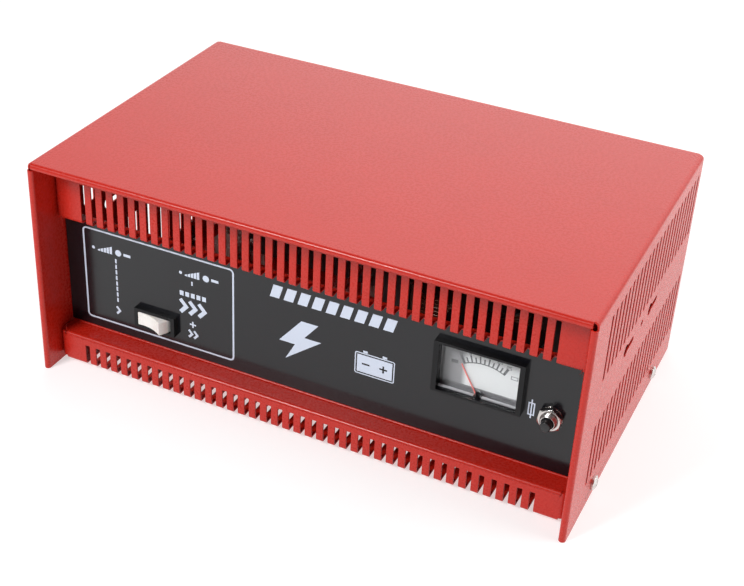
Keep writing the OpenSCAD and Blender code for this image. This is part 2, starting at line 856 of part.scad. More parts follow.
module rectifier_diodes() {
    color([0.68, 0.66, 0.62]) for (x = diode_x) {
        rod_y(rect_x + x, rect_z + 50, diode_r - 0.02, rect_y - 2, rect_y + rect_size[1]);
        rod_y(rect_x + x, rect_z + 50, 1, rect_y - 14, rect_y - 1.9);
    }
}

module rectifier_feet() {
    color([0.88, 0.86, 0.80]) for (s = [-1, 1]) {
        difference() {
            union() {
                block_y(rect_x + s * 46, base_top + 11, 12, 22, rect_y + rect_size[1] + 0.1, rect_y + 14);
                block_y(rect_x + s * 46, base_top + 2, 12, 4, rect_y + rect_size[1] + 0.1, rect_y + 26);
            }
            rod_y(rect_x + s * 46, rect_z + 8, 1.95, rect_y, rect_y + 13);
        }
    }
}

module rectifier_screws() {
    color([0.75, 0.74, 0.72]) for (s = [-1, 1]) {
        translate([rect_x + s * 46, rect_y, rect_z + 8]) rotate([90, 0, 0]) pan_screw(4, 2.4, 1.9, 12);
    }
}

module terminal_block() {
    color([0.90, 0.89, 0.85]) translate([tb_x - tb_size[0] / 2, tb_y - tb_size[1] / 2, base_top])
        difference() {
            cube(tb_size);
            for (i = [0 : 2]) {
                translate([-1, 7 + i * 13, 8]) rotate([0, 90, 0]) cylinder(r = 2.4, h = tb_size[0] + 2);
                for (x = [6, tb_size[0] - 6]) {
                    translate([x, 7 + i * 13, 8]) cylinder(r = 2.2, h = tb_size[2]);
                }
            }
        }
}

module terminal_block_screws() {
    color([0.80, 0.72, 0.45]) for (i = [0 : 2], x = [6, tb_size[0] - 6]) {
        translate([tb_x - tb_size[0] / 2 + x, tb_y - tb_size[1] / 2 + 7 + i * 13, base_top + 9]) difference() {
            cylinder(r = 1.9, h = 6.5);
            translate([-2, -0.3, 5.5]) cube([4, 0.6, 2]);
        }
    }
}

module cable_gland() {
    color([0.07, 0.07, 0.07]) difference() {
        union() {
            rod_y(gland_x, entry_z, gland_r, rear_y - 10, rear_y + sheet + e);
            rod_y(gland_x, entry_z, gland_r + 3, rear_y + sheet, rear_y + sheet + 3);
        }
        rod_y(gland_x, entry_z, gland_bore, rear_y - 11, rear_y + 8);
    }
}

module gland_nut() {
    color([0.07, 0.07, 0.07])
        translate([gland_x, rear_y, entry_z]) rotate([90, 0, 0]) hex_nut(20, 4.5, gland_r + 0.05);
}

module lead_grommets() {
    color([0.08, 0.08, 0.08]) for (x = lead_x) {
        difference() {
            union() {
                rod_y(x, entry_z, lead_r + 2.2, rear_y - 2.2, rear_y - 0.05);
                rod_y(x, entry_z, lead_r - 0.05, rear_y - 0.1, rear_y + sheet + 0.1);
                rod_y(x, entry_z, lead_r + 2.2, rear_y + sheet + 0.05, rear_y + sheet + 2.2);
            }
            rod_y(x, entry_z, lead_bore, rear_y - 4, rear_y + 6);
        }
    }
}

module earth_stud() {
    color([0.80, 0.72, 0.45]) translate([earth_x, earth_y, base_z]) rotate([180, 0, 0])
        pan_screw(4, 2.2, 1.95, 14);
}

module earth_nut() {
    color([0.80, 0.72, 0.45]) translate([earth_x, earth_y, base_top]) hex_nut(7, 3, 2);
}

// a quarter turn of a lead, flat in z, about (x, y); the turn starts at angle a
module lead_elbow(x, y, a) {
    translate([x, y, 0]) rotate(a) rotate_extrude(angle = 90) translate([lead_turn, 0]) circle(wire_r);
}

// ring terminal on a stud that points along Y; dir is the side its lead leaves on
module lead_lug(x, dir) {
    y = back_of_case() + 3.3;
    difference() {
        union() {
            rod_y(x, stud_z, 4, y, y + 1.6);
            block_y(x + dir * 4.5, stud_z, 7, 4, y, y + 1.6);
        }
        rod_y(x, stud_z, 2.1, y - 1, y + 3);
    }
}

module internal_leads() {
    y0 = back_of_case() + 4.1;
    blade_top = br_z + 8.4;
    color([0.70, 0.12, 0.10]) {
        lead_lug(mt_x + stud_x[1], 1);
        rod_x(y0, stud_z, wire_r, mt_x + stud_x[1] + 6, br_x - lead_turn);
        translate([0, y0, stud_z]) rotate([90, 0, 0]) lead_elbow(br_x - lead_turn, -lead_turn, 0);
        translate([br_x, y0, blade_top]) cylinder(r = wire_r, h = stud_z - lead_turn - blade_top);

        lead_lug(mt_x + stud_x[0], -1);
        rod_x(y0, stud_z, wire_r, mt_x + stud_x[0] - 6, lead_turn);
        translate([0, 0, stud_z]) {
            lead_elbow(lead_turn, y0 + lead_turn, 180);
            lead_elbow(-lead_turn, rect_y + 2 - lead_turn, 0);
        }
        rod_y(0, stud_z, wire_r, y0 + lead_turn, rect_y + 2 - lead_turn);
        rod_x(rect_y + 2, stud_z, wire_r, -lead_turn, rect_x + rect_size[0] / 2);
    }
}

cover();
chassis();
rear_panel();
front_label();
cover_screws();
cover_clip_nuts();
rear_panel_screws();
rear_panel_nuts();
switch_body();
switch_rocker();
switch_plunger();
switch_contact();
switch_terminals();
meter_bezel();
meter_window();
meter_case();
meter_dial();
meter_needle();
meter_zero_screw();
meter_movement();
meter_studs();
meter_nuts();
breaker_body();
breaker_bushing();
breaker_washer();
breaker_nut();
breaker_terminals();
reset_button();
transformer_core();
transformer_bobbin();
primary_winding();
secondary_winding();
transformer_brackets();
core_bolts();
core_nuts();
bracket_screws();
bracket_nuts();
rectifier_plate();
rectifier_diodes();
rectifier_feet();
rectifier_screws();
terminal_block();
terminal_block_screws();
cable_gland();
gland_nut();
lead_grommets();
earth_stud();
earth_nut();
internal_leads();
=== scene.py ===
"""Looks of the workshop battery charger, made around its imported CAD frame. Metres, +Z up."""
import math

import bmesh
import bpy
from mathutils import Matrix, Vector


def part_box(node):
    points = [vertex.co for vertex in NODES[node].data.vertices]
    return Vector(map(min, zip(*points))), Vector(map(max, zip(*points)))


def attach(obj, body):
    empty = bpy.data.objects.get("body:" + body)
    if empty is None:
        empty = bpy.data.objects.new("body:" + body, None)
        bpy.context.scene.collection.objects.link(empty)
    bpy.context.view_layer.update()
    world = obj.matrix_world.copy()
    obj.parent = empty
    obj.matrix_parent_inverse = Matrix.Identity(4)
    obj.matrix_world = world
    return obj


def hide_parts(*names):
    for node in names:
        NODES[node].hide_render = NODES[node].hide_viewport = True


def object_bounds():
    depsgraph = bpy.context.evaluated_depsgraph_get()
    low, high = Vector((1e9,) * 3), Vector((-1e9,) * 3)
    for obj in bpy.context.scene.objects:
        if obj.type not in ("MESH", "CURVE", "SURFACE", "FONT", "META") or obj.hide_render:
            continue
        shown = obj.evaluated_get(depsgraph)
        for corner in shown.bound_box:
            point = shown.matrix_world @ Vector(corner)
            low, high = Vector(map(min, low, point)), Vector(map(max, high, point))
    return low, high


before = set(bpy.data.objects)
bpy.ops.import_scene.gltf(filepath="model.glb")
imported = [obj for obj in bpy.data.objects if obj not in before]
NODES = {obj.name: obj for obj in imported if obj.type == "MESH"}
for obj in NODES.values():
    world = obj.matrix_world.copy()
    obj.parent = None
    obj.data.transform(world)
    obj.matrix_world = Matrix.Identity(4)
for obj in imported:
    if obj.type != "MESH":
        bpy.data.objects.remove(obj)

CAD_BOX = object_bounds()
MM = 0.001
CASE = "charger"                         # the body that every fixed piece belongs to


# ---- camera, lights and floor ----------------------------------------------------------------------

CAMERA_TURN = 23.42                      # degrees to the right of straight ahead
CAMERA_RISE = 32.22                      # degrees above level
CAMERA_ROLL = 3.21                       # degrees, anticlockwise
CAMERA_DISTANCE = 0.9229
CAMERA_AIM = Vector((0.0092, -0.0154, 0.0632))
CAMERA_LENS = 68.56                      # mm


def make_camera():
    turn, rise, roll = (math.radians(a) for a in (CAMERA_TURN, CAMERA_RISE, CAMERA_ROLL))
    back = Vector((math.sin(turn) * math.cos(rise), -math.cos(turn) * math.cos(rise), math.sin(rise)))
    level = Vector((0, 0, 1)).cross(back).normalized()
    upright = back.cross(level)
    right = level * math.cos(roll) + upright * math.sin(roll)
    up = upright * math.cos(roll) - level * math.sin(roll)
    data = bpy.data.cameras.new("camera")
    data.lens = CAMERA_LENS
    camera = bpy.data.objects.new("camera", data)
    camera.matrix_world = Matrix.Translation(CAMERA_AIM + back * CAMERA_DISTANCE) @ Matrix(
        (right, up, back)
    ).transposed().to_4x4()
    bpy.context.scene.collection.objects.link(camera)
    bpy.context.scene.camera = camera


def area_light(name, place, aim, size, watts, colour=(1, 1, 1)):
    data = bpy.data.lights.new(name, "AREA")
    data.shape = "RECTANGLE"
    data.size, data.size_y = size
    data.energy = watts
    data.color = colour
    lamp = bpy.data.objects.new(name, data)
    lamp.location = place
    lamp.rotation_euler = (Vector(aim) - Vector(place)).to_track_quat("-Z", "Y").to_euler()
    bpy.context.scene.collection.objects.link(lamp)


SKY_LIGHT = 0.15                         # radiance of the surroundings
BACKDROP_LIGHT = 1.9                     # and what the backdrop behind the charger adds to it
BACKDROP_AIM = (-0.05, 0.93, 0.36)       # direction of the backdrop's middle
BACKDROP_EDGE = 0.6                      # cosine of the angle from there at which its light ends
FLOOR_GLOW = 0.56                        # light that the floor gives off by itself
FLOOR_REACH = 3.0
FLOOR_GAP = 0.0002                       # keeps the floor clear of the charger
LIGHTS = (                               # name, place, aim, size in metres, watts, colour
    ("key_left", (-0.65, -1.29, 1.31), (0, -0.1, 0.08), (0.5, 0.5), 25.5, (0.97, 0.99, 1)),
    ("overhead", (0.8, 0.1, 1.5), (0, 0, 0.1), (0.8, 0.8), 7.5, (1, 1, 1)),
    ("back_right", (1.4, 0.3, 0.6), (0, 0, 0.1), (1.0, 0.8), 8, (1, 0.97, 0.93)),
)


def make_world():
    """A dim sky with a bright, soft backdrop behind the charger."""
    world = bpy.data.worlds.new("studio")
    world.use_nodes = True
    nodes, links = world.node_tree.nodes, world.node_tree.links
    nodes["Background"].inputs["Color"].default_value = (1, 1, 1, 1)
    facing = nodes.new("ShaderNodeVectorMath")
    facing.operation = "DOT_PRODUCT"
    facing.inputs[1].default_value = BACKDROP_AIM
    links.new(nodes.new("ShaderNodeTexCoord").outputs["Generated"], facing.inputs[0])
    fall = nodes.new("ShaderNodeMapRange")
    fall.interpolation_type = "SMOOTHSTEP"
    links.new(facing.outputs["Value"], fall.inputs["Value"])
    fall.inputs["From Min"].default_value = BACKDROP_EDGE
    fall.inputs["To Min"].default_value = SKY_LIGHT
    fall.inputs["To Max"].default_value = SKY_LIGHT + BACKDROP_LIGHT
    links.new(fall.outputs["Result"], nodes["Background"].inputs["Strength"])
    bpy.context.scene.world = world


def make_floor():
    """A pale sheet of paper, a hair below the charger."""
    mesh = bpy.data.meshes.new("floor")
    low = CAD_BOX[0].z - FLOOR_GAP
    corners = [(sx * FLOOR_REACH, sy * FLOOR_REACH, low) for sx, sy in ((-1, -1), (1, -1), (1, 1), (-1, 1))]
    mesh.from_pydata(corners, [], [(0, 1, 2, 3)])
    floor = bpy.data.objects.new("floor", mesh)
    bpy.context.scene.collection.objects.link(floor)
    paper = Material("floor_paper", (0.55, 0.55, 0.55), 0.8, Emission_Strength=FLOOR_GLOW)
    paper.set("Emission Color", (1, 1, 1, 1))
    paper.bump(paper.noise(180, 4), 0.05, 0.00005)
    mesh.materials.append(paper.data)


def make_studio():
    bpy.context.scene.view_settings.view_transform = "Standard"
    make_world()
    for light in LIGHTS:
        area_light(*light)
    make_floor()


# ---- materials -------------------------------------------------------------------------------------


class Material:
    """A Principled material with short calls for the procedural parts of it. Scales are per metre."""

    def __init__(self, name, colour, roughness, metallic=0.0, **sockets):
        self.data = bpy.data.materials.new(name)
        self.data.use_nodes = True
        self.nodes = self.data.node_tree.nodes
        self.links = self.data.node_tree.links
        self.shader = self.nodes["Principled BSDF"]
        self.base = colour
        self.place = self.nodes.new("ShaderNodeTexCoord").outputs["Object"]
        self.normal = None
        self.set("Base Color", (*colour, 1))
        self.set("Roughness", roughness)
        self.set("Metallic", metallic)
        for socket, value in sockets.items():
            self.set(socket.replace("_", " "), value)

    def set(self, socket, value):
        self.shader.inputs[socket].default_value = value

    def node(self, kind, **inputs):
        made = self.nodes.new(kind)
        for name, value in inputs.items():
            socket = made.inputs[name.replace("_", " ")]
            if isinstance(value, bpy.types.NodeSocket):
                self.links.new(value, socket)
            else:
                socket.default_value = value
        return made

    def stretched(self, x, y, z):
        """The object's coordinates, scaled by x, y and z."""
        return self.node("ShaderNodeMapping", Vector=self.place, Scale=(x, y, z)).outputs[0]

    def noise(self, scale, detail=2.0, place=None):
        made = self.node("ShaderNodeTexNoise", Vector=place or self.place, Scale=scale, Detail=detail)
        return made.outputs["Fac"]

    def waves(self, scale, axis, distortion=0.0):
        made = self.node("ShaderNodeTexWave", Vector=self.place, Scale=scale, Distortion=distortion)
        made.bands_direction = axis
        return made.outputs["Fac"]

    def axis(self, letter):
        return self.node("ShaderNodeSeparateXYZ", Vector=self.place).outputs[letter]

    def span(self, value, low, high, out_low=0.0, out_high=1.0):
        """value from low to high becomes out_low to out_high, clamped."""
        made = self.node("ShaderNodeMapRange", Value=value)
        ends = {"From Min": low, "From Max": high, "To Min": out_low, "To Max": out_high}
        for name, number in ends.items():
            made.inputs[name].default_value = number
        return made.outputs["Result"]

    def blend(self, factor, colour_a, colour_b):
        made = self.nodes.new("ShaderNodeMix")
        made.data_type = "RGBA"
        factor_in, a_in, b_in = (made.inputs[k] for k in (0, 6, 7))      # 6 and 7 are the colour sockets
        for socket, value in ((factor_in, factor), (a_in, colour_a), (b_in, colour_b)):
            if isinstance(value, bpy.types.NodeSocket):
                self.links.new(value, socket)
            elif isinstance(value, float):
                socket.default_value = value
            else:
                socket.default_value = (*value, 1)
        return made.outputs[2]

    def paint(self, colour):
        self.links.new(colour, self.shader.inputs["Base Color"])
        return self

    def mottle(self, factor, low, high):
        """Varies the base colour between low and high times itself."""
        dark = tuple(c * low for c in self.base)
        light = tuple(c * high for c in self.base)
        return self.paint(self.blend(factor, dark, light))

    def gloss(self, factor, low, high):
        self.links.new(self.span(factor, 0.3, 0.7, low, high), self.shader.inputs["Roughness"])
        return self

    def bump(self, height, strength, distance):
        made = self.node("ShaderNodeBump", Height=height, Strength=strength, Distance=distance)
        if self.normal is not None:
            self.links.new(self.normal, made.inputs["Normal"])
        self.normal = made.outputs["Normal"]
        self.links.new(self.normal, self.shader.inputs["Normal"])
        return self


def red_powder_coat():
    m = Material("red_powder_coat", (0.51, 0.016, 0.0070), 0.28, IOR=1.42)
    m.mottle(m.noise(35, 3), 0.95, 1.05)
    m.gloss(m.noise(500, 2), 0.23, 0.33)
    m.bump(m.noise(1500, 1.0), 0.5, 0.00006)
    m.bump(m.noise(2800, 1.0), 0.4, 0.00002)
    return m


def label_film():
    m = Material("label_film", (0.004, 0.004, 0.006), 0.16, IOR=1.49)
    m.mottle(m.noise(60, 3), 0.8, 1.3)
    m.gloss(m.noise(220, 2), 0.13, 0.19)
    m.bump(m.noise(3800, 1.0), 0.25, 0.000012)
    return m


def print_ink():
    m = Material("print_ink", (0.62, 0.68, 0.80), 0.38)
    m.mottle(m.noise(2500, 2), 0.92, 1.05)
    m.bump(m.noise(4200, 1.0), 0.15, 0.00001)
    return m


def dark_ink():
    m = Material("dark_ink", (0.045, 0.045, 0.05), 0.5)
    m.mottle(m.noise(3000, 2), 0.8, 1.25)
    m.bump(m.noise(4200, 1.0), 0.15, 0.00001)
    return m


def moulded(name, colour, roughness, grain=1600, ior=1.5):
    """Injection-moulded plastic: a fine spark-eroded grain and faint flow marks."""
    m = Material(name, colour, roughness, IOR=ior)
    m.mottle(m.noise(90, 3), 0.85, 1.15)
    m.gloss(m.noise(300, 2), roughness * 0.85, roughness * 1.2)
    m.bump(m.noise(grain, 1.0), 0.25, 0.00002)
    return m


def rocker_white():
    m = moulded("rocker_white", (0.88, 0.86, 0.82), 0.24)
    m.set("Subsurface Weight", 0.15)
    m.set("Subsurface Radius", (0.0012, 0.0010, 0.0008))
    return m


def plated(name, colour, roughness):
    """Plated steel: fine turned or drawn marks, a little haze and some darker spots."""
    m = Material(name, colour, roughness, metallic=1.0)
    m.mottle(m.noise(700, 3), 0.85, 1.05)
    m.gloss(m.noise(400, 2), roughness * 0.75, roughness * 1.35)
    m.bump(m.noise(1, 2, place=m.stretched(900, 900, 4000)), 0.12, 0.00002)
    return m


def drawn_copper():
    m = Material("enamelled_copper", (0.16, 0.055, 0.025), 0.34, metallic=0.6, Coat_Weight=0.4)
    m.set("Coat Roughness", 0.12)
    m.mottle(m.noise(160, 3), 0.7, 1.15)
    m.bump(m.noise(1500, 2), 0.15, 0.00003)
    return m


LAMINATION = 0.5 * MM                    # thickness of one sheet of the core
WAVE_LENGTH = 2 * math.pi / 20           # metres from crest to crest of a wave texture at scale 1


def laminated_core():
    m = Material("laminated_core", (0.085, 0.082, 0.088), 0.45, metallic=0.55)
    sheets = m.waves(WAVE_LENGTH / LAMINATION, "Y", 0.3)
    varnish = m.blend(m.noise(45, 4), (0.05, 0.04, 0.035), (0.14, 0.13, 0.135))
    m.paint(m.blend(sheets, varnish, (0.05, 0.045, 0.045)))
    m.gloss(m.noise(120, 3), 0.35, 0.6)
    m.bump(sheets, 0.5, 0.00012)
    m.bump(m.noise(900, 2), 0.2, 0.00005)
    return m


def mill_aluminium():
    m = Material("mill_aluminium", (0.13, 0.13, 0.135), 0.45, metallic=1.0)
    m.mottle(m.noise(40, 3), 0.88, 1.04)
    m.bump(m.noise(1, 3, place=m.stretched(60, 60, 5200)), 0.25, 0.00003)
    m.gloss(m.noise(1, 2, place=m.stretched(40, 40, 900)), 0.38, 0.55)
    return m


WINDOW_MM = 1.6                          # thickness of the window's clear sheet
ACRYLIC = (0.97, 0.98, 0.99)
FROSTED = (0.50, 0.50, 0.52)             # the window's lower lip


def clear_acrylic():
    """The window: clear, with a frosted lip in front, and it lets lamps through to the dial."""
    m = Material("clear_acrylic", ACRYLIC, 0.03, IOR=1.49, Transmission_Weight=1.0)
    sheet_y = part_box("meter_window")[1].y - WINDOW_MM * MM
    frost = m.span(m.axis("Y"), sheet_y - 0.15 * MM, sheet_y - 0.05 * MM, 1.0, 0.0)
    m.paint(m.blend(frost, ACRYLIC, FROSTED))
    m.links.new(m.span(frost, 0, 1, 1.0, 0.15), m.shader.inputs["Transmission Weight"])
    m.links.new(m.span(frost, 0, 1, 0.03, 0.35), m.shader.inputs["Roughness"])
    m.bump(m.noise(40, 2), 0.04, 0.0002)
    open_air = m.node("ShaderNodeBsdfTransparent")
    rays = m.node("ShaderNodeLightPath")
    mix = m.node("ShaderNodeMixShader", Fac=rays.outputs["Is Shadow Ray"])
    m.links.new(m.shader.outputs[0], mix.inputs[1])
    m.links.new(open_air.outputs[0], mix.inputs[2])
    m.links.new(mix.outputs[0], m.nodes["Material Output"].inputs["Surface"])
    return m


DIAL_WHITE = (0.60, 0.60, 0.595)
DIAL_PAINTED_SHADE = (0.19, 0.185, 0.19)          # grey of the painted shade at the dial's left, standing for the shadow of the meter case's left wall
DIAL_BAND = (0.150, 0.147, 0.152)        # and of the band over the movement
BAND_SHARE = 0.085                       # height of the band, as a share of the window's
PAINTED_SHADE_SHARE = (0.24, 0.31)                # where the painted shade at the left fades out, as shares of the window's width


def dial_card():
    """White enamelled card with a grey band at the bottom, and shade painted in at the left for the shadow
    of the case's left wall.
    """
    m = Material("dial_card", DIAL_WHITE, 0.42)
    lo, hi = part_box("meter_window")
    wide, high = hi.x - lo.x, hi.z - lo.z
    # painted shade: the card greys towards the left as if in the shadow of the meter case's left wall
    painted_shade = m.span(m.axis("X"), lo.x + PAINTED_SHADE_SHARE[0] * wide, lo.x + PAINTED_SHADE_SHARE[1] * wide)
    over = m.span(m.axis("Z"), lo.z + BAND_SHARE * high, lo.z + (BAND_SHARE + 0.01) * high)
    card = m.blend(m.noise(500, 2), tuple(c * 0.95 for c in DIAL_WHITE), DIAL_WHITE)
    m.paint(m.blend(over, DIAL_BAND, m.blend(painted_shade, DIAL_PAINTED_SHADE, card)))
    m.bump(m.noise(1500, 1), 0.1, 0.00002)
    return m


def rubber():
    m = Material("rubber_black", (0.018, 0.018, 0.018), 0.62)
    m.mottle(m.noise(120, 3), 0.8, 1.4)
    m.bump(m.noise(1100, 2), 0.4, 0.00005)
    return m


def wire_cover(name, colour):
    m = Material(name, colour, 0.38)
    m.mottle(m.noise(90, 2), 0.88, 1.08)
    m.bump(m.noise(700, 2), 0.25, 0.00004)
    return m


def make_materials():
    return {
        "red_paint": red_powder_coat(),
        "label_film": label_film(),
        "screw_steel": plated("screw_steel", (0.74, 0.73, 0.71), 0.24),
        "clip_steel": plated("clip_steel", (0.10, 0.10, 0.11), 0.42),
        "black_plastic": moulded("black_plastic", (0.004, 0.004, 0.005), 0.2, 1200, 1.33),
        "white_plastic": rocker_white(),
        "brass": plated("brass", (0.78, 0.58, 0.26), 0.28),
        "copper": plated("contact_copper", (0.80, 0.40, 0.22), 0.30),
        "clear_plastic": clear_acrylic(),
        "dial_white": dial_card(),
        "needle_red": moulded("needle_red", (0.72, 0.12, 0.10), 0.4),
        "nickel": plated("nickel", (0.62, 0.59, 0.57), 0.22),
        "button_black": moulded("button_black", (0.012, 0.012, 0.013), 0.38),
        "core_steel": laminated_core(),
        "bobbin_nylon": moulded("bobbin_nylon", (0.035, 0.034, 0.033), 0.45),
        "bracket_steel": plated("bracket_steel", (0.58, 0.56, 0.48), 0.36),
        "aluminium": mill_aluminium(),
        "ceramic_white": moulded("ceramic_white", (0.76, 0.74, 0.68), 0.42),
        "rubber_black": rubber(),
        "wire_red": wire_cover("wire_red", (0.42, 0.02, 0.015)),
        "wound_copper": drawn_copper(),
    }


def dress_nodes(materials):
    for node in NODES.values():
        for slot in node.material_slots:
            slot.material = materials[slot.material.name.split(".")[0]].data


# ---- edges of the CAD pieces -----------------------------------------------------------------------

EDGE_MM = {                              # radius that each piece's edges are broken by
    "cover": 0.3, "chassis": 0.3, "rear_panel": 0.3,
    "meter_bezel": 0.15, "switch_body": 0.15, "switch_rocker": 0.3, "reset_button": 0.3,
    "meter_case": 0.4, "breaker_body": 0.4, "breaker_washer": 0.12,
    "cover_screws": 0.12, "rear_panel_screws": 0.12, "bracket_screws": 0.12, "rectifier_screws": 0.12,
    "cable_gland": 0.5, "gland_nut": 0.5, "lead_grommets": 0.6, "earth_stud": 0.12,
    "cover_clip_nuts": 0.15, "transformer_brackets": 0.4, "transformer_bobbin": 0.3,
    "rectifier_plate": 0.3, "rectifier_feet": 0.5, "terminal_block": 0.5, "core_bolts": 0.3,
    "switch_terminals": 0.1, "breaker_terminals": 0.1, "meter_zero_screw": 0.12,
}
EDGE_ANGLE = math.radians(35)            # sharper than this is an edge
WELD = 0.002 * MM                        # corner points this close are one


def smooth_shading_group():
    """Geometry nodes that shade every face and edge smooth."""
    group = bpy.data.node_groups.new("shade_smooth", "GeometryNodeTree")
    group.interface.new_socket("Geometry", in_out="INPUT", socket_type="NodeSocketGeometry")
    group.interface.new_socket("Geometry", in_out="OUTPUT", socket_type="NodeSocketGeometry")
    last = group.nodes.new("NodeGroupInput").outputs[0]
    for domain in ("FACE", "EDGE"):
        step = group.nodes.new("GeometryNodeSetShadeSmooth")
        step.domain = domain
        group.links.new(last, step.inputs["Geometry"])
        last = step.outputs[0]
    group.links.new(last, group.nodes.new("NodeGroupOutput").inputs[0])
    return group


def break_edges():
    """Rounds the edges of the CAD pieces a little, as paint, moulds and tumbling do."""
    smooth = smooth_shading_group()
    for name, radius in EDGE_MM.items():
        node = NODES[name]
        weld = node.modifiers.new("weld", "WELD")
        weld.merge_threshold = WELD
        bevel = node.modifiers.new("bevel", "BEVEL")
        bevel.width = radius * MM
        bevel.segments = 2
        bevel.limit_method = "ANGLE"
        bevel.angle_limit = EDGE_ANGLE
        bevel.use_clamp_overlap = False
        shade = node.modifiers.new("shade", "NODES")
        shade.node_group = smooth
        normals = node.modifiers.new("normals", "WEIGHTED_NORMAL")
        normals.keep_sharp = False


# ---- flat printed marks ----------------------------------------------------------------------------


NO_RADIUS = 1e-6                         # a corner with a round one's points but no size


def loop_rect(x0, z0, x1, z1, r=0.0, steps=6):
    """Corner points of a rectangle with round corners."""
    if r == 0:
        return [(x0, z0), (x1, z0), (x1, z1), (x0, z1)]
    points = []
    left, right, low, high = x0 + r, x1 - r, z0 + r, z1 - r
    for cx, cz, start in ((right, low, 270), (right, high, 0), (left, high, 90), (left, low, 180)):
        for k in range(steps + 1):
            a = math.radians(start + 90 * k / steps)
            points.append((cx + r * math.cos(a), cz + r * math.sin(a)))
    return points


def ring(outer, inner):
    """Quads between two outlines with the same number of points."""
    count = len(outer)
    return [[outer[k], outer[(k + 1) % count], inner[(k + 1) % count], inner[k]] for k in range(count)]


def frame_rect(x0, z0, x1, z1, line, r=0.0):
    """Quads of a rectangle's outline; r is the outer radius of its corners."""
    outer = loop_rect(x0, z0, x1, z1, r)
    inner_r = max(r - line, NO_RADIUS) if r else 0.0
    return ring(outer, loop_rect(x0 + line, z0 + line, x1 - line, z1 - line, inner_r))


def stroke(points, width):
    """Quads along an open line with mitred corners."""
    left, right = [], []
    for k, p in enumerate(points):
        before = Vector(p) - Vector(points[max(k - 1, 0)])
        after = Vector(points[min(k + 1, len(points) - 1)]) - Vector(p)
        steps = [v.normalized() for v in (before, after) if v.length > 0]
        along = sum(steps, Vector((0, 0))).normalized()
        across = Vector((-along.y, along.x))
        half = width / 2 / max(across.dot(Vector((-steps[0].y, steps[0].x))), 0.3)
        left.append(tuple(Vector(p) + across * half))
        right.append(tuple(Vector(p) - across * half))
    return [[left[k], left[k + 1], right[k + 1], right[k]] for k in range(len(points) - 1)]


def arc(cx, cz, r, start, end, steps):
    """Points on an arc; angles in degrees from upright, clockwise."""
    angles = [math.radians(start + (end - start) * k / steps) for k in range(steps + 1)]
    return [(cx + r * math.sin(a), cz + r * math.cos(a)) for a in angles]


INK_T = 0.06                             # mm that printed marks are thick
INK_PROUD = 0.04                         # mm of it that stands out
SAME_POINT = 1e-7                        # metres; outlines that meet share their corners


def print_marks(name, faces, origin, front_y, material):
    """Flat marks, given as outlines in mm from origin in x and z, as thin solids on the face at front_y."""
    shape = bmesh.new()
    ink_y = front_y - INK_PROUD * MM
    for outline in faces:
        shape.faces.new([shape.verts.new((origin.x + x * MM, ink_y, origin.z + z * MM)) for x, z in outline])
    bmesh.ops.remove_doubles(shape, verts=shape.verts, dist=SAME_POINT)
    raised = bmesh.ops.extrude_face_region(shape, geom=shape.faces[:])
    back = [v for v in raised["geom"] if isinstance(v, bmesh.types.BMVert)]
    bmesh.ops.translate(shape, verts=back, vec=(0, INK_T * MM, 0))
    bmesh.ops.recalc_face_normals(shape, faces=shape.faces[:])
    return finish_piece(name, shape, material)


def finish_piece(name, shape, material, body=CASE, smooth=False):
    mesh = bpy.data.meshes.new(name)
    shape.to_mesh(mesh)
    shape.free()
    mesh.materials.append(material.data)
    if smooth:
        mesh.shade_smooth()
    piece = bpy.data.objects.new(name, mesh)
    bpy.context.scene.collection.objects.link(piece)
    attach(piece, body)
    return piece


LABEL_ORIGIN = 175                       # mm that the marks' origin lies left of the label's middle
LINE = 1.2                               # width of the printed outlines
CHEVRON = (3.4, 4.6)                     # size of one chevron
CHEVRON_LINE = 1.3


def chevrons(x, z, count, scale=1.0):
    """count chevrons that point right, centred on x and z."""
    w, h = (s * scale for s in CHEVRON)
    pitch = w * 0.95
    faces = []
    for k in range(count):
        left = x + (k - (count - 1) / 2) * pitch - w / 2 + 0.2 * w
        faces += stroke([(left, z - h / 2), (left + w * 0.6, z), (left, z + h / 2)], CHEVRON_LINE * scale)
    return faces


BAR_SHARE = 0.8                          # of a bar's pitch that is printed


def growing_bars(x0, x1, z, low, high, count):
    """Side by side bars on the line z, rising to the right."""
    pitch = (x1 - x0) / count
    faces = []
    for k in range(count):
        left = x0 + k * pitch
        right = left + pitch * BAR_SHARE
        top_left = z + low + (high - low) * k / count
        top_right = z + low + (high - low) * (k + BAR_SHARE) / count
        faces.append([(left, z), (right, z), (right, top_right), (left, top_left)])
    return faces


def plus_sign(x, z, size, line):
    h, w = size / 2, line / 2
    left = [(x - h, z - w), (x - w, z - w), (x - w, z + w), (x - h, z + w)]
    right = [(x + w, z - w), (x + h, z - w), (x + h, z + w), (x + w, z + w)]
    post_right = [(x + w, z + step) for step in (-h, -w, w, h)]
    post_left = [(x - w, z + step) for step in (h, w, -w, -h)]
    return [left, right, post_left[-1:] + post_right + post_left[:-1]]


def disc(x, z, r, steps=20):
    angles = [2 * math.pi * k / steps for k in range(steps)]
    return [(x + r * math.cos(a), z + r * math.sin(a)) for a in angles]


FIELD = (10.5, 5.9, 121.9, 74.6)         # left, bottom, right and top of the outlined field
FIELD_R = 3.2
SLOW_X, FAST_X = 34.9, 91.6              # middles of its two columns
BAR_COUNT = 5
CAPACITIES = (                           # each column's bars (x0, x1, z, height), discs (x, z, r) and dash
    ((21.5, 32.8, 59.1, 5.9), ((18.2, 60.6, 1.1), (37.0, 61.4, 2.3)), (41.0, 60.3)),
    ((86.5, 97.5, 59.6, 5.7), ((83.4, 61.2, 1.1), (101.8, 61.8, 2.3)), (105.6, 61.0)),
)
DASH = (5.2, 1.9)                        # width and height of the dashes after the discs
BLOCKS = (44.4, 2.8, 3.4, 4.1)           # the five blocks' bottom, width, height and pitch
TRAIL = (23.9, 3.1, 4.2, 8)              # the dashed line's lower end, dash, pitch and count


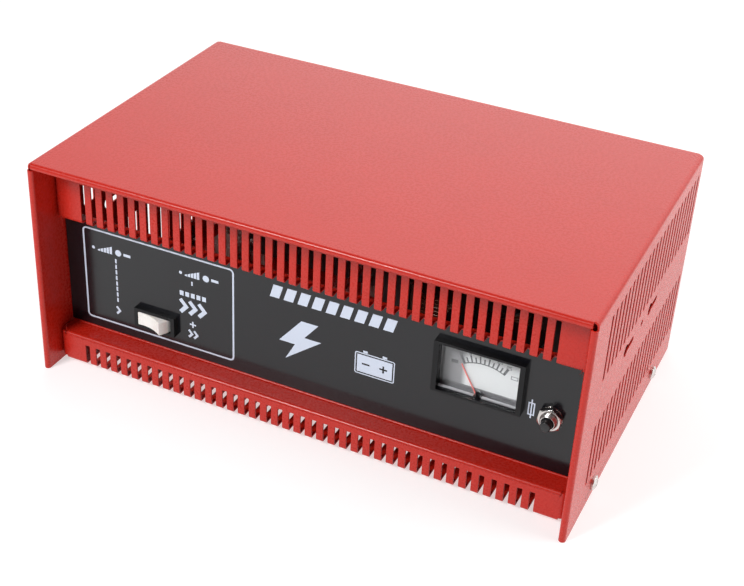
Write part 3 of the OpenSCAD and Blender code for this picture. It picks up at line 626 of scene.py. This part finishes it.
def settings_marks(ink, origin, front_y):
    """The outlined field around the rocker: a slow and a fast setting."""
    faces = frame_rect(*FIELD, LINE, FIELD_R)
    for (x0, x1, z, high), discs, (dash_x, dash_z) in CAPACITIES:
        faces += growing_bars(x0, x1, z, 0.8, high, BAR_COUNT)
        faces += [disc(*spot) for spot in discs]
        faces.append(loop_rect(dash_x, dash_z, dash_x + DASH[0], dash_z + DASH[1]))
    low, wide, high, pitch = BLOCKS
    for k in range(5):
        left = FAST_X - 9.2 + k * pitch
        faces.append(loop_rect(left, low, left + wide, low + high))
    first, dash, pitch, count = TRAIL
    for k in range(count):
        z = first + k * pitch
        faces.append(loop_rect(SLOW_X - LINE / 2, z, SLOW_X + LINE / 2, z + dash))
    faces.append(loop_rect(FAST_X - 0.5, 53.7, FAST_X + 0.5, 56.7))
    faces += chevrons(SLOW_X, 17.3, 1, 1.2)
    faces += chevrons(FAST_X, 36.5, 3, 2.1)
    faces += plus_sign(FAST_X, 24.2, 4.6, 1.1)
    faces += chevrons(FAST_X, 16.8, 2, 1.2)
    print_marks("settings_print", faces, origin, front_y, ink)


BATTERY = (206.0, 27.0, 232.6, 42.8)     # left, bottom, right and top of the battery's outline
BATTERY_POSTS = (212.9, 225.8)


def battery_marks(ink, origin, front_y):
    """A battery pictogram: an outline, a filled middle and two posts."""
    x0, z0, x1, z1 = BATTERY
    faces = frame_rect(x0, z0, x1, z1, 0.7, 1.4)
    for x in BATTERY_POSTS:
        faces.append(loop_rect(x - 1.5, z1 + 0.3, x + 1.5, z1 + 1.8))
    inset, line, size = 1.6, 1.2, 5.2
    mid, z = (x0 + x1) / 2, (z0 + z1) / 2
    left, right, low, high = x0 + inset, x1 - inset, z0 + inset, z1 - inset
    faces += window_with_bar(left, low, mid, high, z, size, line, upright=False)
    faces += window_with_bar(mid, low, right, high, z, size, line, upright=True)
    print_marks("battery_print", faces, origin, front_y, ink)


def window_with_bar(x0, z0, x1, z1, z, size, line, upright):
    """A filled rectangle with a minus sign left open in it, or a plus sign where upright."""
    cx = (x0 + x1) / 2
    h, w = size / 2, line / 2
    columns = [x0, cx - h, cx - w, cx + w, cx + h, x1]
    rows = [z0, z - h, z - w, z + w, z + h, z1]
    faces = []
    for i in range(5):
        for j in range(5):
            bar = j == 2 and 1 <= i <= 3
            post = upright and i == 2 and 1 <= j <= 3
            if not (bar or post):
                faces.append(loop_rect(columns[i], rows[j], columns[i + 1], rows[j + 1]))
    return faces


FUSE_X, FUSE_LOW, FUSE_HIGH = 319.5, 35.3, 44.3


def fuse_marks(ink, origin, front_y):
    """The circuit symbol of a fuse, beside the reset button."""
    line, half, lead = 0.8, 2.1, 2.2
    faces = frame_rect(FUSE_X - half, FUSE_LOW, FUSE_X + half, FUSE_HIGH, line)
    for low, high in (
        (FUSE_LOW - lead, FUSE_LOW),
        (FUSE_HIGH, FUSE_HIGH + lead),
        (FUSE_LOW + line, FUSE_HIGH - line),
    ):
        faces.append(loop_rect(FUSE_X - line / 2, low, FUSE_X + line / 2, high))
    print_marks("fuse_print", faces, origin, front_y, ink)


STRIPES = (147.0, 233.0, 63.6, 72.6, 9)  # left, right, bottom, top and count of the slanted stripes
STRIPE_SHARE = 0.68                      # of a stripe's pitch that is printed
STRIPE_SLANT = 2.6
BOLT = (154.0, 21.5, 29.0, 30.5)         # left, bottom, width and height of the lightning bolt
BOLT_SHAPE = ((0.52, 1.0), (0.0, 0.40), (0.38, 0.40), (0.16, 0.0), (1.0, 0.62), (0.60, 0.62), (0.92, 1.0))


def emblem_marks(ink, origin, front_y):
    """Slanted stripes and a lightning bolt, which stand for no maker."""
    first, last, low, high, count = STRIPES
    pitch = (last - first) / count
    for k in range(count):
        left = first + k * pitch
        right = left + pitch * STRIPE_SHARE
        stripe = [(left, low), (right, low), (right + STRIPE_SLANT, high), (left + STRIPE_SLANT, high)]
        print_marks(f"stripe_print_{k}", [stripe], origin, front_y, ink)
    x, z, wide, high = BOLT
    outline = [(x + u * wide, z + v * high) for u, v in BOLT_SHAPE]
    print_marks("bolt_print", [outline], origin, front_y, ink)


def label_marks():
    ink = print_ink()
    lo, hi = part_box("front_label")
    origin = Vector(((lo.x + hi.x) / 2 - LABEL_ORIGIN * MM, lo.y, lo.z))
    settings_marks(ink, origin, lo.y)
    battery_marks(ink, origin, lo.y)
    fuse_marks(ink, origin, lo.y)
    emblem_marks(ink, origin, lo.y)


# ---- dial ------------------------------------------------------------------------------------------

SCALE_R = 27.0                           # mm, radius of the scale's line
SCALE_SWEEP = 27.0                       # degrees either side of upright
SCALE_STEPS = 10
SCALE_STEP = 2.5                         # amperes from one tick to the next
SCALE_PAST = 1.6                         # degrees that the line runs past the end ticks
SCALE_ASIDE = 1.0                        # mm that the scale lies right of the dial's middle
PIVOT_R = 4.0                            # mm from the needle's lowest point to its pivot
TICK_GAP = 0.3
TICK_SHORT, TICK_LONG, TICK_END = 3.7, 4.9, 5.2
TICK_W, TICK_END_W = 0.95, 1.6
NUMERAL = (1.15, 1.9)                    # width and height of the scale's numerals
NUMERAL_LINE = 0.34
NUMERAL_R = SCALE_R + 6.3
DIAL_BLOCK = (-20.7, 22.3, -16.3, 24.7)  # a filled mark left of the scale
DIAL_FRAME = (16.8, 22.3, 21.2, 24.7)    # and an outlined one right of it
DIGITS = {
    "0": [(0, 0), (1, 0), (1, 1), (0, 1), (0, 0)],
    "1": [(0.5, 0), (0.5, 1)],
    "2": [(0, 1), (1, 1), (1, 0.5), (0, 0.5), (0, 0), (1, 0)],
    "5": [(1, 1), (0, 1), (0, 0.5), (1, 0.5), (1, 0), (0, 0)],
}


def numeral(text, x, z):
    """Plain numerals of straight strokes, centred on x and z."""
    w, h = NUMERAL
    pitch = w * 1.5
    faces = []
    for k, digit in enumerate(text):
        left = x + (k - (len(text) - 1) / 2) * pitch - w / 2
        faces += stroke([(left + u * w, z + (v - 0.5) * h) for u, v in DIGITS[digit]], NUMERAL_LINE)
    return faces


def dial_marks():
    ink = dark_ink()
    lo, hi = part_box("meter_dial")
    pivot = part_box("meter_needle")[0].z + PIVOT_R * MM
    origin = Vector(((lo.x + hi.x) / 2 + SCALE_ASIDE * MM, lo.y, pivot))

    def put(name, faces):
        print_marks(name, faces, origin, lo.y, ink)

    end = SCALE_SWEEP + SCALE_PAST
    put("dial_line", stroke(arc(0, 0, SCALE_R, -end, end, 24), 0.7))
    for k in range(SCALE_STEPS + 1):
        angle = -SCALE_SWEEP + 2 * SCALE_SWEEP * k / SCALE_STEPS
        at_end, numbered = k in (0, SCALE_STEPS), k % 2 == 0
        length = TICK_END if at_end else TICK_LONG if numbered else TICK_SHORT
        tick = [arc(0, 0, SCALE_R + reach, angle, angle, 1)[0] for reach in (TICK_GAP, length)]
        put(f"dial_tick_{k}", stroke(tick, TICK_END_W if at_end else TICK_W))
        if numbered:
            x, z = arc(0, 0, NUMERAL_R, angle, angle, 1)[0]
            put(f"dial_numeral_{k}", numeral(str(round(k * SCALE_STEP)), x, z))
    put("dial_block", [loop_rect(*DIAL_BLOCK)])
    put("dial_frame", frame_rect(*DIAL_FRAME, 0.4))


# ---- nuts, threads and windings --------------------------------------------------------------------


def islands(node_name):
    """The separate solids of a CAD node, each a list of its corner points."""
    shape = bmesh.new()
    shape.from_mesh(NODES[node_name].data)
    bmesh.ops.remove_doubles(shape, verts=shape.verts, dist=WELD)
    place = NODES[node_name].matrix_world
    seen, found = set(), []
    for first in shape.verts:
        if first in seen:
            continue
        seen.add(first)
        group, edge = [], [first]
        while edge:
            vert = edge.pop()
            group.append(place @ vert.co)
            for link in vert.link_edges:
                other = link.other_vert(vert)
                if other not in seen:
                    seen.add(other)
                    edge.append(other)
        found.append(group)
    shape.free()
    return found


def across(axis):
    """The two directions across axis, which is 1 for Y or 2 for Z."""
    return (0, 2) if axis == 1 else (0, 1)


SEAM = 0.0005 * MM


def lathe(shape, rows, centre, axis):
    """A surface through rows of (radius, angle, place along axis); each row is a closed ring."""
    u, v = across(axis)
    grid = []
    for row in rows:
        line = []
        for radius, angle, along in row:
            co = [0.0, 0.0, 0.0]
            co[u] = centre[u] + radius * math.cos(angle)
            co[v] = centre[v] + radius * math.sin(angle)
            co[axis] = along
            line.append(shape.verts.new(co))
        grid.append(line)
    count = len(grid[0])
    for one, two in zip(grid, grid[1:]):
        for k in range(count):
            shape.faces.new((one[k], one[(k + 1) % count], two[(k + 1) % count], two[k]))


def close_seams(shape):
    """Joins the points that lie together and turns every face outward."""
    bmesh.ops.remove_doubles(shape, verts=shape.verts, dist=SEAM)
    bmesh.ops.recalc_face_normals(shape, faces=shape.faces[:])


NUT_STEPS = 12                           # points along each of a nut's six sides
NUT_FACE = 0.95                          # the flat of a nut's face, as a share of its width across flats
NUT_SINK = 0.08                          # depth of the countersink, as a share of the bore's radius
NUT_EDGE = 0.12 * MM
CHAMFER_SLOPE = math.tan(math.radians(30))
SIXTH = math.radians(60)


def chamfered_nuts(node_name, axis, material):
    """Hexagon nuts with chamfered corners and a countersunk bore, in place of the plain ones."""
    shape = bmesh.new()
    u, v = across(axis)
    for points in islands(node_name):
        centre = [(min(p[k] for p in points) + max(p[k] for p in points)) / 2 for k in range(3)]
        low, high = min(p[axis] for p in points), max(p[axis] for p in points)
        polar = [(math.hypot(p[u] - centre[u], p[v] - centre[v]), p) for p in points]
        corner_r, corner = max(polar, key=lambda entry: entry[0])
        bore = min(polar, key=lambda entry: entry[0])[0]
        turn = math.atan2(corner[v] - centre[v], corner[u] - centre[u])
        flat = corner_r * math.cos(SIXTH / 2)
        angles = [SIXTH * k / NUT_STEPS for k in range(6 * NUT_STEPS)]
        reach = [flat / math.cos(a % SIXTH - SIXTH / 2) for a in angles]
        face = flat * NUT_FACE
        drop = [(r - face) * CHAMFER_SLOPE for r in reach]
        sink = bore * NUT_SINK
        rows = []
        for radius, along in (
            (bore, [low + sink] * len(angles)),
            (bore + sink, [low] * len(angles)),
            (face, [low] * len(angles)),
            (None, [low + d for d in drop]),
            (None, [high - d for d in drop]),
            (face, [high] * len(angles)),
            (bore + sink, [high] * len(angles)),
            (bore, [high - sink] * len(angles)),
            (bore, [low + sink] * len(angles)),
        ):
            rows.append([(radius or r, turn + a, y) for r, a, y in zip(reach, angles, along)])
        lathe(shape, rows, centre, axis)
    close_seams(shape)
    piece = finish_piece(node_name + "_cut", shape, material, CASE)
    bevel = piece.modifiers.new("bevel", "BEVEL")
    bevel.width, bevel.segments = NUT_EDGE, 2
    bevel.limit_method, bevel.angle_limit = "ANGLE", math.radians(25)
    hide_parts(node_name)


THREAD_PITCH = 0.75 * MM                 # of the reset button's bushing
THREAD_DEPTH = 0.42 * MM
THREAD_ROWS = 6                          # rows of points to one turn of the thread
BUSHING_STEPS = 60


def threaded_bushing(material):
    """The reset button's bushing with its thread and a rounded mouth."""
    lo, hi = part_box("breaker_bushing")
    centre = [(lo[k] + hi[k]) / 2 for k in range(3)]
    outer = (hi.x - lo.x) / 2
    root = outer - THREAD_DEPTH
    bore = min(math.hypot(p.x - centre[0], p.z - centre[2]) for p in islands("breaker_bushing")[0])
    angles = [2 * math.pi * k / BUSHING_STEPS for k in range(BUSHING_STEPS)]
    mouth = (                            # radius and place of each ring from the back, round to the thread
        (bore, hi.y), (bore, lo.y + 0.5 * MM), (bore + 0.15 * MM, lo.y + 0.15 * MM),
        (bore + 0.5 * MM, lo.y), (root - 0.2 * MM, lo.y), (root, lo.y + 0.2 * MM),
    )
    rows = [[(radius, a, along) for a in angles] for radius, along in mouth]
    step = THREAD_PITCH / THREAD_ROWS
    for k in range(int((hi.y - lo.y - 1.6 * MM) / step) + 1):
        along = lo.y + 0.5 * MM + k * step
        row = []
        for a in angles:
            phase = (k / THREAD_ROWS + a / (2 * math.pi)) % 1.0
            groove = min(max(abs(2 * phase - 1) * 1.5 - 0.25, 0.0), 1.0)
            row.append((outer - THREAD_DEPTH * groove, a, along))
        rows.append(row)
    rows += [[(radius, a, hi.y) for a in angles] for radius in (root, bore)]
    shape = bmesh.new()
    lathe(shape, rows, centre, 1)
    close_seams(shape)
    piece = finish_piece("breaker_bushing_thread", shape, material, CASE, smooth=True)
    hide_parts("breaker_bushing")


WIRE_MM = 2.6                            # thickness of the outer winding's wire
WIRE_SIDES = 8                           # of the wire's cross section
WINDING_CORNER_MM = 19.1                 # radius of the winding's corners in plan
BACKING_MM = 3.0                         # depth of the turns under the outer ones, drawn as one ring


def plan_loop(lo, hi, inset, corner, steps=6):
    """Points round a box in plan, inset from it, with round corners."""
    return loop_rect(lo.x + inset, lo.y + inset, hi.x - inset, hi.y - inset, corner - inset, steps)


def join_rings(shape, rings):
    """Faces from each ring of points to the next, and from the last to the first."""
    for one, two in zip(rings, rings[1:] + rings[:1]):
        for k in range(len(one)):
            n = (k + 1) % len(one)
            shape.faces.new((one[k], two[k], two[n], one[n]))


def wire_winding(node_name, material):
    """A coil of round wire: stacked turns over a solid backing, in place of the plain ring."""
    lo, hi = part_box(node_name)
    corner, backing = WINDING_CORNER_MM * MM, BACKING_MM * MM
    turns = int((hi.z - lo.z) / (WIRE_MM * MM))
    pitch = (hi.z - lo.z) / turns
    radius = pitch / 2
    path = [Vector(spot) for spot in plan_loop(lo, hi, radius, corner)]
    shape = bmesh.new()
    for turn in range(turns):
        z = lo.z + pitch * (turn + 0.5)
        rings = []
        for k, here in enumerate(path):
            before, after = path[k - 1], path[(k + 1) % len(path)]
            along = ((here - before).normalized() + (after - here).normalized()).normalized()
            out = Vector((along.y, -along.x))
            section = []
            for a in (2 * math.pi * m / WIRE_SIDES for m in range(WIRE_SIDES)):
                spot = here + out * radius * math.cos(a)
                section.append(shape.verts.new((spot.x, spot.y, z + radius * math.sin(a))))
            rings.append(section)
        join_rings(shape, rings)
    inner = plan_loop(lo, hi, radius + backing, corner)
    join_rings(shape, [
        [shape.verts.new((*spot, z)) for spot in loop]
        for loop, z in ((path, lo.z), (path, hi.z), (inner, hi.z), (inner, lo.z))
    ])
    bmesh.ops.recalc_face_normals(shape, faces=shape.faces[:])
    piece = finish_piece(node_name + "_turns", shape, material, CASE, smooth=True)
    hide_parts(node_name)


NUTS = (                                 # node, axis of the nuts (1 is Y, 2 is Z), finish
    ("breaker_nut", 1, "nickel"), ("meter_nuts", 1, "brass"), ("core_nuts", 1, "screw_steel"),
    ("rear_panel_nuts", 2, "screw_steel"), ("bracket_nuts", 2, "screw_steel"), ("earth_nut", 2, "brass"),
)


# ---- build -----------------------------------------------------------------------------------------

materials = make_materials()
make_camera()
make_studio()
dress_nodes(materials)
break_edges()
label_marks()
dial_marks()
for nut_node, nut_axis, nut_slot in NUTS:
    chamfered_nuts(nut_node, nut_axis, materials[nut_slot])
threaded_bushing(materials["nickel"])
wire_winding("secondary_winding", materials["wound_copper"])
